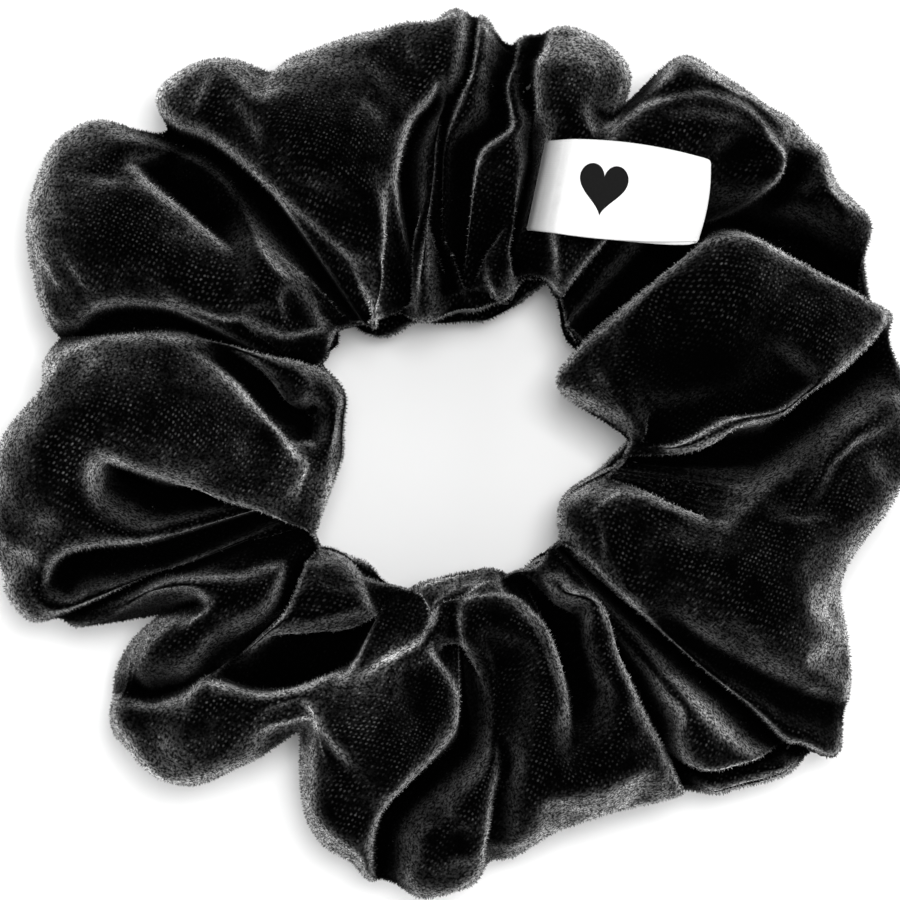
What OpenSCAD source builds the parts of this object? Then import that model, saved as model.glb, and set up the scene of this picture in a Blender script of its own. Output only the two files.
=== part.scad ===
// Gathered velvet scrunchie with a sewn-in folded ribbon label.
// The ring lies flat on its underside at z = 0 and its axis is +Z.
// The label end of the ring is +Y. Lengths are in millimetres.
// The ring is built as two C-shaped halves, cut at y = 0, which draw apart along Y
// when the elastic stretches.

/* [Ring] */
// Outer diameter of the gathered ring at rest
outer_d = 108; // [100:1:120]
// Diameter of the hole for the ponytail at rest
hole_d = 29; // [24:1:34]
// Height of the ring as it lies
ring_h = 26; // [22:1:28]
// Thickness of the gathered velvet wall
wall = 2; // [1.8:0.1:2.4]

/* [Stretch split] */
// Gap between the two halves at rest
split_gap = 0.3; // [0.2:0.1:0.6]
// Thickness of the gathered velvet that closes each end of a half
end_wall = 2; // [1.5:0.5:3]

/* [Elastic] */
// Height of the flat elastic band
elastic_h = 6; // [4:1:8]
// Thickness of the flat elastic band
elastic_t = 0.9; // [0.6:0.1:1.2]
// Clear space between the elastic and the inside of the sleeve
elastic_clearance = 0.7; // [0.5:0.1:1.2]
// Length over which the two elastic ends overlap
overlap_l = 12; // [8:1:16]
// Place of the overlap round the ring, in degrees from +X
overlap_angle = 115; // [105:1:150]

/* [Seams] */
// Width of the seam allowance that is turned to the inside of the sleeve
allowance_w = 5; // [3:1:7]
// Thickness of the two allowance layers together
allowance_t = 1.6; // [1:0.1:2]
// Thickness of the sewing thread
thread_t = 0.5; // [0.3:0.1:0.6]
// Place of the closing seam round the ring, in degrees from +X
closing_angle = 76; // [68:1:84]
// Depth of the crease that the closing seam pulls into the sleeve
crease_depth = 1.2; // [0.8:0.1:1.4]
// Width of that crease
crease_w = 1.8; // [1.2:0.1:2.4]

/* [Label] */
// Visible length of the folded label, from the seam to the fold
label_l = 20.5; // [16:0.5:24]
// Width of the label ribbon
label_w = 12; // [8:0.5:12.5]
// Thickness of the satin ribbon
ribbon_t = 0.3; // [0.2:0.05:0.4]
// Height of the closed loop at the fold
loop_h = 1.6; // [1.2:0.1:2]
// Length of the loop's end where both layers are sewn together
sewn_l = 1.5; // [1:0.5:3]
// Tilt of the label about the vertical, in degrees
label_tilt = -5; // [-10:1:5]
// Gap between the label and the velvet below it
label_gap = 0.3; // [0.3:0.1:0.6]
// Width of the printed heart
heart_w = 5.9; // [4:0.1:7]
// Distance from the seam end of the label to the middle of the heart
heart_x = 8.2; // [6:0.1:12]
// Thickness of the heart print
heart_t = 0.12; // [0.1:0.02:0.2]

/* [Hidden] */
$fn = 96;
outer_r = outer_d / 2;
hole_r = hole_d / 2;
tube_w = outer_r - hole_r;
mid_r = (outer_r + hole_r) / 2;
end_angle = asin(end_wall / mid_r);
elastic_r = hole_r + wall + elastic_clearance;
elastic_outer_r = elastic_r + elastic_t;
slot_clearance = 0.3;
overlap_span = overlap_l / elastic_outer_r * 180 / PI;
stitch_count = 6;
stitch_h = elastic_h - 1;
stitch_rise = 1.4;
stitch_share = 0.7;
allowance_r = outer_r - wall - allowance_w;
long_seam_r = outer_r - wall - 1.5;
label_start = [10.6, 32.4 + split_gap / 2, ring_h + label_gap];
heart_side = heart_w / (1 + sqrt(2) / 2);

// Cross-section of the sleeve in the XZ plane: flat below and above, round at both sides
module sleeve_section(inset = 0) {
    translate([mid_r, ring_h / 2]) {
        square([tube_w - ring_h, ring_h - 2 * inset], center = true);
        for (side = [-1, 1])
            translate([side * (tube_w - ring_h) / 2, 0])
                circle(r = ring_h / 2 - inset);
    }
}

// Hollow of the sleeve, less the seam allowance that stands in from its outer side
module hollow_section() {
    difference() {
        sleeve_section(wall);
        translate([allowance_r, (ring_h - allowance_t) / 2])
            square([allowance_w + wall, allowance_t]);
    }
}

// Cross-section of the slot that the elastic lies in
module slot_section() {
    translate([elastic_r - slot_clearance, (ring_h - elastic_h) / 2 - slot_clearance])
        square([elastic_t + 2 * slot_clearance, elastic_h + 2 * slot_clearance]);
}

// Half ring of elastic seen from above; children are added to its outer face
module elastic_plan() {
    difference() {
        union() {
            circle(r = elastic_outer_r);
            children();
        }
        circle(r = elastic_r);
        translate([-outer_r, -outer_d])
            square(outer_d);
    }
}

// Puts a half drawn on the +Y side in its place, half the gap from the cut
module on_label_side() {
    translate([0, split_gap / 2, 0])
        children();
}

// The same for the other half, turned half a turn about the ring's axis
module on_far_side() {
    rotate([0, 0, 180])
        on_label_side()
            children();
}

// A shape drawn in the ring's radial section, spread to a width and set at the closing seam
module at_closing_seam(width) {
    rotate([0, 0, closing_angle])
        rotate([90, 0, 0])
            linear_extrude(width, center = true)
                children();
}

// Half of the velvet sleeve: a C-shaped tube with an end wall and a slot for the elastic
module sleeve_half() {
    difference() {
        rotate_extrude(angle = 180)
            sleeve_section();
        rotate([0, 0, end_angle])
            rotate_extrude(angle = 180 - 2 * end_angle)
                hollow_section();
        rotate_extrude(angle = 180)
            slot_section();
    }
}

// Raises a plan of the elastic to the height of the band
module elastic_band() {
    translate([0, 0, (ring_h - elastic_h) / 2])
        linear_extrude(elastic_h)
            children();
}

// The line of stitches that lies along the seam allowance
module long_seam_half() {
    rotate([0, 0, end_angle])
        rotate_extrude(angle = 180 - 2 * end_angle)
            translate([long_seam_r, (ring_h + allowance_t + thread_t) / 2])
                circle(d = thread_t);
}

module sleeve_label_half() {
    color([0.03, 0.03, 0.03])
        on_label_side()
            difference() {
                sleeve_half();
                at_closing_seam(crease_w)
                    difference() {
                        sleeve_section(-1);
                        sleeve_section(crease_depth);
                    }
            }
}

module sleeve_far_half() {
    color([0.03, 0.03, 0.03])
        on_far_side()
            sleeve_half();
}

// The half of the elastic that holds the join, where one end lies on the other
module elastic_label_half() {
    color([0.08, 0.08, 0.08])
        on_label_side()
            elastic_band()
                elastic_plan()
                    overlap_plan();
}

// Sector of a larger disc: the second layer of elastic at the join
module overlap_plan() {
    sides = [overlap_angle - overlap_span / 2, overlap_angle + overlap_span / 2];
    intersection() {
        circle(r = elastic_outer_r + elastic_t);
        polygon(concat([[0, 0]], [for (a = sides) outer_r * [cos(a), sin(a)]]));
    }
}

module elastic_far_half() {
    color([0.08, 0.08, 0.08])
        on_far_side()
            elastic_band()
                elastic_plan();
}

// Zigzag of thread across the overlap, flat against its outer face
module elastic_join() {
    pitch = overlap_l * stitch_share / stitch_count;
    reach = (stitch_h - stitch_rise) / 2;
    middle = [for (i = [0 : stitch_count])
        [(i - stitch_count / 2) * pitch, i % 2 == 0 ? -reach : reach]];
    lower = [for (i = [0 : stitch_count]) middle[i] - [0, stitch_rise / 2]];
    upper = [for (i = [stitch_count : -1 : 0]) middle[i] + [0, stitch_rise / 2]];
    color([0.85, 0.85, 0.82])
        on_label_side()
            rotate([0, 0, overlap_angle])
                translate([elastic_outer_r + elastic_t, 0, ring_h / 2])
                    rotate([90, 0, 90])
                        linear_extrude(thread_t)
                            polygon(concat(lower, upper));
}

module long_seam_label_half() {
    color([0.05, 0.05, 0.05])
        on_label_side()
            long_seam_half();
}

module long_seam_far_half() {
    color([0.05, 0.05, 0.05])
        on_far_side()
            long_seam_half();
}

// Ring of thread at the bottom of the crease, where the ends of the sleeve are sewn together
module closing_seam() {
    color([0.05, 0.05, 0.05])
        on_label_side()
            at_closing_seam(thread_t * 2)
                difference() {
                    sleeve_section(crease_depth - thread_t);
                    sleeve_section(crease_depth);
                }
}

// Places a shape in the label's own frame: x from the seam to the fold, z up from its underside
module on_label() {
    translate(label_start)
        rotate([0, 0, label_tilt])
            children();
}

// Satin ribbon folded into a flat loop, seen from its edge; its sewn end is a round roll
module label_edge() {
    fold_r = loop_h / 2;
    difference() {
        union() {
            square([label_l - fold_r, loop_h]);
            for (end_x = [0, label_l - fold_r])
                translate([end_x, fold_r])
                    circle(r = fold_r);
        }
        translate([sewn_l, ribbon_t])
            square([label_l - fold_r - sewn_l, loop_h - 2 * ribbon_t]);
        translate([label_l - fold_r, fold_r])
            circle(r = fold_r - ribbon_t);
    }
}

module label_ribbon() {
    color("white")
        on_label()
            rotate([90, 0, 0])
                linear_extrude(label_w, center = true)
                    label_edge();
}

// Heart outline: a square on its corner with a round lobe on each upper side
module heart_outline(side) {
    rotate([0, 0, 45]) {
        square(side, center = true);
        translate([0, side / 2])
            circle(d = side);
        translate([side / 2, 0])
            circle(d = side);
    }
}

module label_heart() {
    color([0.02, 0.02, 0.02])
        on_label()
            translate([heart_x, 0, loop_h])
                linear_extrude(heart_t)
                    heart_outline(heart_side);
}

sleeve_label_half();
sleeve_far_half();
elastic_label_half();
elastic_far_half();
elastic_join();
long_seam_label_half();
long_seam_far_half();
closing_seam();
label_ribbon();
label_heart();
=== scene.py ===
"""Velvet scrunchie: the looks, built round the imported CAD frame.

All places are in the CAD frame: the ring lies flat on z = 0, its axis is +Z, the label is
on the +Y side. The layout below is in millimetres in that frame, and MM turns it to metres.
"""
import math

import bpy
import numpy as np
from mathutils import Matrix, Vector


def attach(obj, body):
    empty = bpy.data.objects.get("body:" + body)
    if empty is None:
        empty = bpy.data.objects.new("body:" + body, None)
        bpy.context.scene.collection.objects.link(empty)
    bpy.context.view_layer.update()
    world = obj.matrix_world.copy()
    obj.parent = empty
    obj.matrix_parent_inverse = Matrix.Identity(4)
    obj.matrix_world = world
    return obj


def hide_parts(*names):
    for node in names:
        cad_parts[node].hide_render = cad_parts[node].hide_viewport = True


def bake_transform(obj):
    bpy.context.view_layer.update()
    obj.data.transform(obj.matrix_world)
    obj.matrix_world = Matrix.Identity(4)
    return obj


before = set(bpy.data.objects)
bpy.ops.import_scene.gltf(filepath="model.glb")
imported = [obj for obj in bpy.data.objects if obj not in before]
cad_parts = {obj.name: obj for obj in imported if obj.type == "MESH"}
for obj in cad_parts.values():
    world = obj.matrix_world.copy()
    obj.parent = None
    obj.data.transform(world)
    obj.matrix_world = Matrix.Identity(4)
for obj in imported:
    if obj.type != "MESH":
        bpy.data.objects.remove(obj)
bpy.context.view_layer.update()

MM = 0.001
SEED = 20

# ---------------------------------------------------------------- layout of the sleeve

# Outer edge of the gathered ring seen from above, lobe by lobe, anticlockwise from the top
OUTER_EDGE = [
    (2.2, 54.9), (-4.6, 52.2), (-10, 50.2), (-15.6, 48.4), (-21.5, 47.2), (-29.6, 48.2),
    (-35.3, 44.2), (-37, 40.8), (-41.6, 40), (-47.4, 36.2), (-50.6, 28.8), (-50.5, 21.6),
    (-50, 15.4), (-50, 13.4), (-50, 7.4), (-54.4, 0), (-55.6, -8), (-54.3, -17), (-46.8, -22.2),
    (-35.8, -21.6), (-39, -26.6), (-41.6, -30.6), (-38.6, -37.8), (-31.2, -40.2), (-23.5, -38),
    (-19, -36.8), (-17.2, -37.2), (-17.8, -42.4), (-14.2, -50.8), (-10, -54.8), (-5, -54.8),
    (4, -52), (14, -46.5), (25, -43.8), (32, -42.7), (40.4, -40.6), (45.2, -39.3), (49.2, -36.4),
    (49.6, -25.6), (48.6, -15.2), (54.4, -4), (56.2, 7.2), (53.6, 17.2), (53.2, 22.2), (53, 26.2),
    (48.6, 33.4), (43.8, 38.2), (33.4, 46.2), (27.4, 48.5), (24.3, 46.7), (22.2, 43.8),
    (21.2, 46.8), (19.4, 49.4), (14.2, 52.6), (8.5, 51.7), (5.6, 54.2),
]

# Edge of the hole, in the same way
HOLE_EDGE = [
    (7.6, 18.9), (4.5, 16.3), (0, 15), (-3.9, 14.5), (-7, 13.2), (-10.2, 13.5), (-12.3, 12.9),
    (-13.4, 9.9), (-14.6, 8.4), (-13.4, 6), (-12.6, 2.7), (-12.6, 0.4), (-13.6, -2.4),
    (-14.8, -5.4), (-14.7, -8.9), (-13.3, -11.8), (-10.7, -13.5), (-7.4, -13.8), (-4.3, -15),
    (-2, -14.6), (1.2, -13.8), (4.9, -13.3), (7.4, -12.8), (9.3, -12.1), (11.3, -9.8),
    (13.4, -8.8), (13.4, -6.4), (14, -4.8), (16.6, -3), (19.6, 1), (17.6, 4), (14.9, 6.1),
    (13.6, 8.1), (14.1, 10.6), (12.8, 12.8), (12, 17.1),
]

LEFT, RIGHT = 1, -1

# Creases seen from above: (points, side of travel that lies over, depth, width of the over
# side's roll, width of the valley below it, fade at the start, fade at the end), in mm.
# A crease that runs past an edge goes on down the side of the ring.
CREASES = {
    "top_panel_left": (
        [(-41, 47), (-34.5, 41), (-30, 39), (-25, 35), (-20, 30), (-15, 25), (-12.3, 21),
         (-11, 17), (-10.3, 11)], LEFT, 8, 2.0, 4.0, 0, 0),
    "top_panel_dip": ([(-21.5, 52), (-21.6, 46), (-22.5, 42)], LEFT, 1.5, 2.5, 2.5, 0, 4),
    "top_panel_right": (
        [(-0.3, 46), (-2.5, 43.6), (-4.7, 41), (-6.2, 36.5), (-7, 31), (-7.3, 26), (-6.9, 20),
         (-6.8, 15), (-6.4, 9)], RIGHT, 7.5, 1.8, 2.8, 3, 0),
    "left_puff_pocket": (
        [(-39.3, 36), (-38.4, 34), (-36, 31.7), (-33, 29.3), (-30, 27), (-26, 24.5),
         (-22.5, 22.3)], RIGHT, 6.5, 2.0, 5.0, 1.5, 9),
    "left_puff_strip": (
        [(-39, 41), (-35, 39), (-31, 36.5), (-28, 34), (-25, 31.5)], RIGHT, 1.8, 1.2, 1.6, 2, 4),
    "left_valley": (
        [(-56, 14.5), (-49, 15), (-46, 16), (-44, 17.4), (-40, 18.1), (-36, 17.6),
         (-31, 16.4), (-26, 15.6), (-21, 15.2)], LEFT, 6.5, 1.8, 3.6, 0, 8),
    "big_puff_top": (
        [(-56, 14), (-49, 13.8), (-44, 13.6), (-38, 13.8), (-33, 14), (-29.5, 13.7),
         (-26.3, 12.1), (-22, 11), (-18.2, 10.1), (-14.6, 8.4), (-9, 5.6)],
        RIGHT, 5.5, 1.8, 2.6, 0, 0),
    "big_puff_ridge": (
        [(-33, 11), (-29, 9), (-26, 6.8), (-22.5, 3.9), (-20, 2.1), (-17, 1.1), (-13.6, 0.8)],
        RIGHT, 4.5, 1.6, 2.6, 6, 3),
    "big_puff_foot": (
        [(-44, -1.2), (-41.5, -1.4), (-38, -2.6), (-33, -3.7), (-28, -4.9), (-23, -6),
         (-18, -7.1), (-14.5, -7.7), (-10, -8.3)], LEFT, 7.5, 2.2, 3.6, 3, 0),
    "lower_left_pocket": (
        [(-50.8, -17.5), (-50.2, -14.7), (-48, -12.4), (-44, -11.3), (-38, -10.2),
         (-32, -8.7), (-26, -8), (-20, -8.1), (-14, -9)], LEFT, 7, 1.2, 3.6, 2.5, 0),
    "lower_left_ply": (
        [(-56, -23), (-49, -20), (-45, -18.4), (-40, -16.2), (-35, -14), (-30, -13.1),
         (-25, -12.3), (-20, -10.7), (-16, -9.4), (-11, -8.5)], LEFT, 5, 1.1, 2.0, 0, 0),
    "lower_left_gap": (
        [(-44, -23.5), (-38, -22), (-34, -21.2), (-30.5, -20.5), (-28, -19.3)],
        RIGHT, 4.5, 1.2, 2.4, 0, 3),
    "lower_left_sweep": (
        [(-47, -32), (-41, -31.6), (-37, -32), (-33, -30.6), (-30, -28.3), (-26, -25.7),
         (-22, -22.4), (-19.5, -19.6), (-18, -16.6), (-16.8, -13.9), (-15.4, -11.8),
         (-12.5, -9.5)], RIGHT, 4, 1.2, 2.2, 0, 0),
    "twist_top": (
        [(-31, -28.8), (-25, -30.3), (-20, -29.9), (-15, -28.1), (-10, -25.9), (-6, -23.8),
         (-3, -21.8), (-2.3, -19.5), (-4, -17), (-5, -12)], RIGHT, 7.5, 1.8, 4.6, 4, 0),
    "twist_right": (
        [(-2.6, -21), (-1.3, -23), (-1.2, -26), (0.3, -29.3), (1, -32), (0, -34.5),
         (-3, -37.6), (-6, -40.9), (-8.5, -44), (-9.7, -47.5), (-10, -51), (-9.5, -58)],
        RIGHT, 6.5, 1.8, 3.4, 9, 0),
    "twist_notch": (
        [(-22, -37.6), (-18, -36.9), (-15.2, -37.6), (-13, -39.6)], RIGHT, 2.2, 1.4, 1.6, 0, 4),
    "twist_curl": ([(-6.2, -26.8), (-4.9, -28.6), (-4.9, -30.8), (-3.4, -32.6)],
                   LEFT, 2.5, 1.0, 1.6, 1.5, 1.5),
    "bottom_pleat_1": ([(2.8, -11), (2.2, -20), (1.9, -27), (2, -33), (1, -39)],
                       LEFT, 2.0, 1.2, 1.4, 5, 5),
    "bottom_pleat_2": (
        [(3.6, -20), (5.2, -26), (5.6, -32), (5.4, -39), (4.4, -46), (3.4, -57)],
        RIGHT, 2.8, 2.2, 2.6, 6, 0),
    "bottom_pleat_3": (
        [(4.8, -10), (6.6, -15.6), (9.2, -19), (11.6, -23.5), (13.2, -28.5), (14.2, -34),
         (15, -40)], RIGHT, 4.6, 1.6, 3.2, 0, 10),
    "bottom_pleat_4": (
        [(16.5, -15), (18.6, -20), (21, -26.5), (23.6, -32.5), (26.6, -38), (30, -46)],
        RIGHT, 6, 1.8, 2.6, 4, 0),
    "bottom_fan_end": (
        [(25.5, -35.5), (28.5, -37.9), (32, -38.6), (37, -37.6), (41, -36.3), (44, -36.2)],
        LEFT, 4.5, 1.2, 2.0, 2, 2),
    "fan_crease": (
        [(10, -7.5), (15.3, -11.8), (20, -16.3), (25, -20.7), (30, -25.3), (35, -29.4),
         (40, -33), (44, -36), (53, -41)], LEFT, 6.5, 1.4, 3.0, 0, 0),
    "fan_valley": (
        [(25, -16), (30, -20.3), (36, -24.4), (41, -27.3), (46, -30), (55, -33)],
        LEFT, 3.8, 3.0, 2.6, 5, 0),
    "right_panel_top": (
        [(14, 1.2), (19.3, -1.9), (22, -4.2), (26, -6.4), (30, -8), (34, -9.4)],
        RIGHT, 9, 1.8, 5.0, 0, 5),
    "lens_foot": (
        [(14, 4), (19, 0.3), (22, -1), (26, -1.6), (30, -1.2), (35, 0.2), (40, 3), (45, 6.8),
         (50, 11.2), (53, 13.6), (56, 15)], LEFT, 9, 1.8, 4.2, 0, 5),
    "lens_lip": (
        [(21.5, 1.7), (26, 2.2), (31, 3.2), (36, 4.8), (40, 6.7), (43, 9.4), (44.6, 12.5)],
        RIGHT, 3.4, 1.6, 4.6, 3, 4),
    "lens_top": (
        [(9.5, 5.5), (15.3, 11.3), (20, 15.6), (25, 20), (30, 24.2), (33.5, 26.5), (36.5, 26),
         (40, 24.2), (45, 21.7), (50, 19.3), (58, 16)], RIGHT, 8.5, 1.5, 6.0, 0, 0),
    "right_fold_1": ([(38, -9), (43, -3), (48, 2), (53, 6), (58, 8)], RIGHT, 1.4, 1.4, 1.8, 5, 0),
    "right_fold_2": ([(43, -9), (47, -4.5), (51, -0.5), (58, 2.5)], RIGHT, 1.2, 1.3, 1.6, 4, 0),
    "shoulder_pocket": (
        [(29.5, 27.8), (34, 29.6), (38, 31.8), (40.8, 34.5), (41.2, 37.5)],
        LEFT, 5.5, 1.3, 3.6, 2, 3),
    "shoulder_arc_1": (
        [(20.5, 43), (27, 44.2), (33, 43.6), (38, 41.5), (42, 37.6), (45, 32.5), (46.6, 27),
         (47, 22)], LEFT, 2.0, 1.5, 1.7, 2, 3),
    "shoulder_arc_2": ([(24, 41), (30, 41.6), (36, 40.3), (39.6, 37.8)], LEFT, 1.3, 1.2, 1.4, 3, 3),
    "shoulder_side": ([(43.5, 34), (46.6, 31), (48.8, 26), (49.4, 19)], LEFT, 1.6, 1.2, 1.4, 3, 2),
    "bump_foot": ([(26, 51), (22, 44), (19.6, 42.2), (16, 42.6)], RIGHT, 4, 1.5, 2.0, 0, 4),
    "bump_side": (
        [(15, 58), (13.4, 50.5), (12.1, 46), (11.8, 41), (11, 37), (10.2, 33)],
        LEFT, 4.5, 1.2, 2.2, 0, 4),
    "top_fold_3": (
        [(9.6, 57), (9.2, 49), (8, 44.8), (7.2, 41), (6, 38.4), (4, 36), (3.3, 32.5),
         (3.1, 28), (4, 22), (5.6, 12)], LEFT, 5, 1.2, 2.4, 0, 0),
    "top_fold_2": (
        [(4.4, 59), (3.6, 50), (2.8, 45), (1.6, 41), (0.6, 37), (0, 31), (0.6, 24), (2.4, 12)],
        LEFT, 4.2, 1.2, 1.8, 0, 0),
    "top_fold_1": ([(-0.3, 47), (-0.8, 43), (-1.5, 38), (-2.1, 32), (-2.6, 26), (-3.2, 12)],
                   LEFT, 2.8, 1.0, 1.3, 4, 0),
    "closing_crease": (
        [(12.5, 43), (10.3, 38), (9.3, 33), (8.7, 28), (8, 21), (7.4, 12)],
        RIGHT, 6.5, 1.5, 2.4, 5, 0),
    "under_label": ([(9.5, 12), (12.8, 18.2), (15, 21.5), (18, 25), (21.5, 28.5)],
                    LEFT, 5, 1.5, 3.0, 0, 3),
    "hole_notch_1": ([(-9.5, 12.5), (-13.6, 14.4), (-17, 16.6)], LEFT, 2.8, 1.2, 1.6, 0, 3),
    "hole_notch_2": ([(14.5, 8), (12.6, 13.2), (14.5, 15.6), (17.5, 17)], RIGHT, 3, 1.2, 1.6, 0, 3),
    "hole_notch_3": ([(11.5, -5.5), (14.4, -8.6), (17.5, -10.4)], LEFT, 2.4, 1.2, 1.6, 0, 3),
    "hole_notch_4": ([(8, -9.5), (11.6, -12.6), (15, -15)], LEFT, 3, 1.2, 1.6, 0, 4),
}

# Pockets and swells: (x, y, half length, half width, turn in degrees, depth), in mm
PITS = [
    (-36.0, 34.0, 3.2, 1.8, -40, 2.5),
    (-35.5, -29.3, 5.2, 2.4, 12, 7.0),
    (-17.6, 2.8, 3.4, 1.7, 0, 5.0),
    (-23.4, 7.2, 2.6, 1.4, -25, 2.5),
    (-39.8, -2.2, 2.2, 1.4, -10, 2.5),
    (-31.0, -19.3, 2.6, 0.9, 10, 2.5),
    (31.0, 10.5, 11.0, 4.5, 6, 2.6),
    (40.0, 27.8, 7.0, 2.2, -6, 5.0),
    (34.6, 36.3, 3.6, 1.3, 15, 3.5),
    (5.4, 27.5, 5.5, 1.9, 84, 5.5),
    (-3.9, -29.6, 2.0, 1.2, 70, 3.0),
    (21.5, 31.5, 12.0, 8.0, -5, 1.6),
    (-35.0, 3.5, 12.0, 7.0, 8, -2.0),
    (-15.0, 36.0, 10.0, 9.0, 60, -1.2),
    (-43.0, 28.0, 7.0, 8.0, 0, -1.2),
    (35.0, -15.0, 12.0, 7.0, -30, -1.0),
]

# Where the pile lies the other way and looks paler, and the painted sheen spreads further in from
# the edges, in the same way as the pits
BRUSHED_SHEEN = [
    (-40.0, 10.0, 8.0, 2.6, -12, 0.9),
    (-30.0, 4.0, 10.0, 6.0, -20, 0.6),
    (-20.0, -3.5, 7.0, 3.4, -8, 1.0),
    (-43.0, -2.0, 3.5, 3.5, 0, 1.0),
    (-51.0, -12.0, 2.5, 6.0, -30, 0.8),
    (-33.0, -36.0, 7.0, 3.6, 5, 1.0),
    (-16.0, -30.5, 11.0, 2.6, 16, 1.1),
    (-5.0, -25.5, 3.5, 2.4, 30, 1.1),
    (-10.0, -33.0, 6.0, 4.0, 60, 0.8),
    (-34.0, 44.0, 6.0, 3.0, 0, 0.8),
    (-12.0, 44.0, 12.0, 6.0, 20, 0.4),
    (-9.5, 18.0, 1.6, 5.0, 0, 1.0),
    (15.5, 46.5, 3.2, 4.5, 20, 1.2),
    (27.0, 45.0, 8.0, 2.4, -12, 0.4),
    (43.0, 37.0, 7.0, 2.6, -50, 0.3),
    (40.0, 19.0, 9.0, 3.0, -40, 0.8),
    (17.0, 8.0, 4.0, 3.0, 40, 0.9),
    (34.0, 3.4, 9.0, 1.6, 20, 1.0),
    (50.0, 3.0, 4.0, 9.0, -10, 0.4),
    (45.0, -25.5, 4.0, 5.0, 35, 0.4),
    (20.0, -6.0, 5.0, 3.0, -25, 0.6),
    (36.0, -12.0, 9.0, 3.0, -25, 0.5),
    (-1.0, -16.5, 4.0, 2.0, 0, 1.0),
    (32.0, -33.0, 8.0, 2.2, -35, 0.8),
    (22.0, -41.5, 8.0, 1.8, 8, 0.3),
    (4.0, 30.0, 2.0, 7.0, 0, 0.6),
    (-45.0, 30.0, 4.5, 7.0, 10, 0.5),
    (-31.0, 24.0, 7.0, 2.0, -35, 0.9),
    (-27.0, -27.0, 6.0, 1.8, 40, 0.7),
]

RING_HEIGHT = 25.5
SECTION_POWER = 2.3     # how square the tube's section is outside; 2 is an ellipse
HOLE_POWER = 3.6        # and at the hole, where the folds stay high up to the edge
OUTER_ROOM = 0.3        # from the outer edge to the section, before creases draw it in
HOLE_ROOM = 0.6         # and from the edge of the hole
FLOOR_ROOM = 0.4        # and below
TOP_FROM = -0.75        # height, from -1 to 1, where the underside's creases start to give way
TOP_BAND = 0.7

# Shape of the folds
CURVE_STEP = 0.9
CROWN = 3.4             # how far a puff rises above the rolls at its creases
CROWN_REACH = 14.0
LEAN = 1.8              # how far the lip of a deep crease leans over its valley
ROLL_SCALE = 1.65
VALLEY_SCALE = 1.65
VALLEY_FLOOR = 0.35     # share of a valley that is flat
DEPTH_SCALE = 1.15
FULL_CROWN = 5          # a crease this deep has a full crown and a full shade
FULL_LEAN = 6           # and one this deep a full lean
DARK_PIT = 2            # pits deeper than this are shaded
MERGE_POWER = 4
SIDE_SHARE = 0.25       # share of a crease's depth that notches the ring's two edges
SWELL_OUT = 1.2
SWELL = 0.45            # height of the slow swelling all over
GATHER = 0.15           # small pleats at the hole
GATHERS = 52
GATHER_RADIUS = 24
GATHER_BAND = 9
HOLE_SHADE = 0.25       # share of a valley's shade that is left at the edge of the hole
RIPPLES = 26
RIPPLE_PITCH = (3.5, 11)
RIPPLE_HEIGHT = 0.035   # height of a wave as a share of its pitch

# Creases of the underside: the radius that parts inner from outer ends, the radii to which both
# kinds run, how far they wander, their greatest depth, and roll, valley and fades
UNDER_PARTING = 36
UNDER_INWARDS = 30
UNDER_OUTWARDS = 40
UNDER_DRIFT = 0.22
UNDER_DEPTH = 5
UNDER_SHAPE = (2.0, 2.8, 0, 7)

# The sleeve's grid: steps round the ring and round the tube
ROUND_STEPS = 720
TUBE_STEPS = 230
GRID_PULL = 0.6
GRID_HOLD = 0.03
CALM_RADIUS = 21        # inside it, pleats are evened out
CALM_BAND = 5

# The cloth simulation: on every second point, and ten times the size, where it is steady
CLOTH_SHARE = 2
CLOTH_SCALE = 10
CLOTH_FRAMES = 14
CLOTH_CAP = 2.2
CLOTH_SETTINGS = {
    "quality": 4, "mass": 0.3, "tension_stiffness": 12, "compression_stiffness": 12,
    "shear_stiffness": 4, "bending_stiffness": 2, "tension_damping": 10,
    "compression_damping": 10, "shear_damping": 10, "air_damping": 5, "pin_stiffness": 1,
    "shrink_min": -0.07, "use_pressure": True, "uniform_pressure_force": 3,
}
HELD_FROM = 4.5         # creases deeper than this are held
HELD_FADE = 3.0
GRIPPED = 6.0           # and so is the velvet this near to the hole, where the elastic grips it
HELD_LEVELS = 10

# The long seam: where it runs round the tube, and the one stretch where it comes up
SEAM_LOW = -38
SEAM_RISE = 44
SEAM_RISE_AT = 300
SEAM_RISE_REACH = 58
ALLOWANCE = 5.0
ALLOWANCE_GAP = 0.8
ALLOWANCE_STEPS = np.linspace(0.12, 1, 7)

# Elastic and threads
ELASTIC_INSET = 3.6     # from the edge of the hole to the elastic's inner face
ELASTIC_WIDE = 6.0
ELASTIC_THICK = 0.9
ELASTIC_CORDS = 9
ELASTIC_CORD_HEIGHT = 0.07
ELASTIC_WEAVE = (0.03, 0.8)     # height and pitch
ELASTIC_STEPS = 420
ELASTIC_ROOM = 1.2      # from the elastic to the velvet round it
LAP_ANGLE = 115
LAP_LENGTH = 12
LAP_RADIUS = 18
ZIGZAGS = 13
ZIGZAG_TURN = 2.2
ZIGZAG_THREAD = 0.2
CLOSING_ANGLE = 76
CLOSING_ROWS = 6        # rows to each side that the closing seam's line is averaged over
THREAD = 0.35
STITCH_LENGTH = 2.0
STITCH_GAP = 0.6
SEAM_DEPTH = 1.6        # of the stitches below the velvet's face

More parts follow.
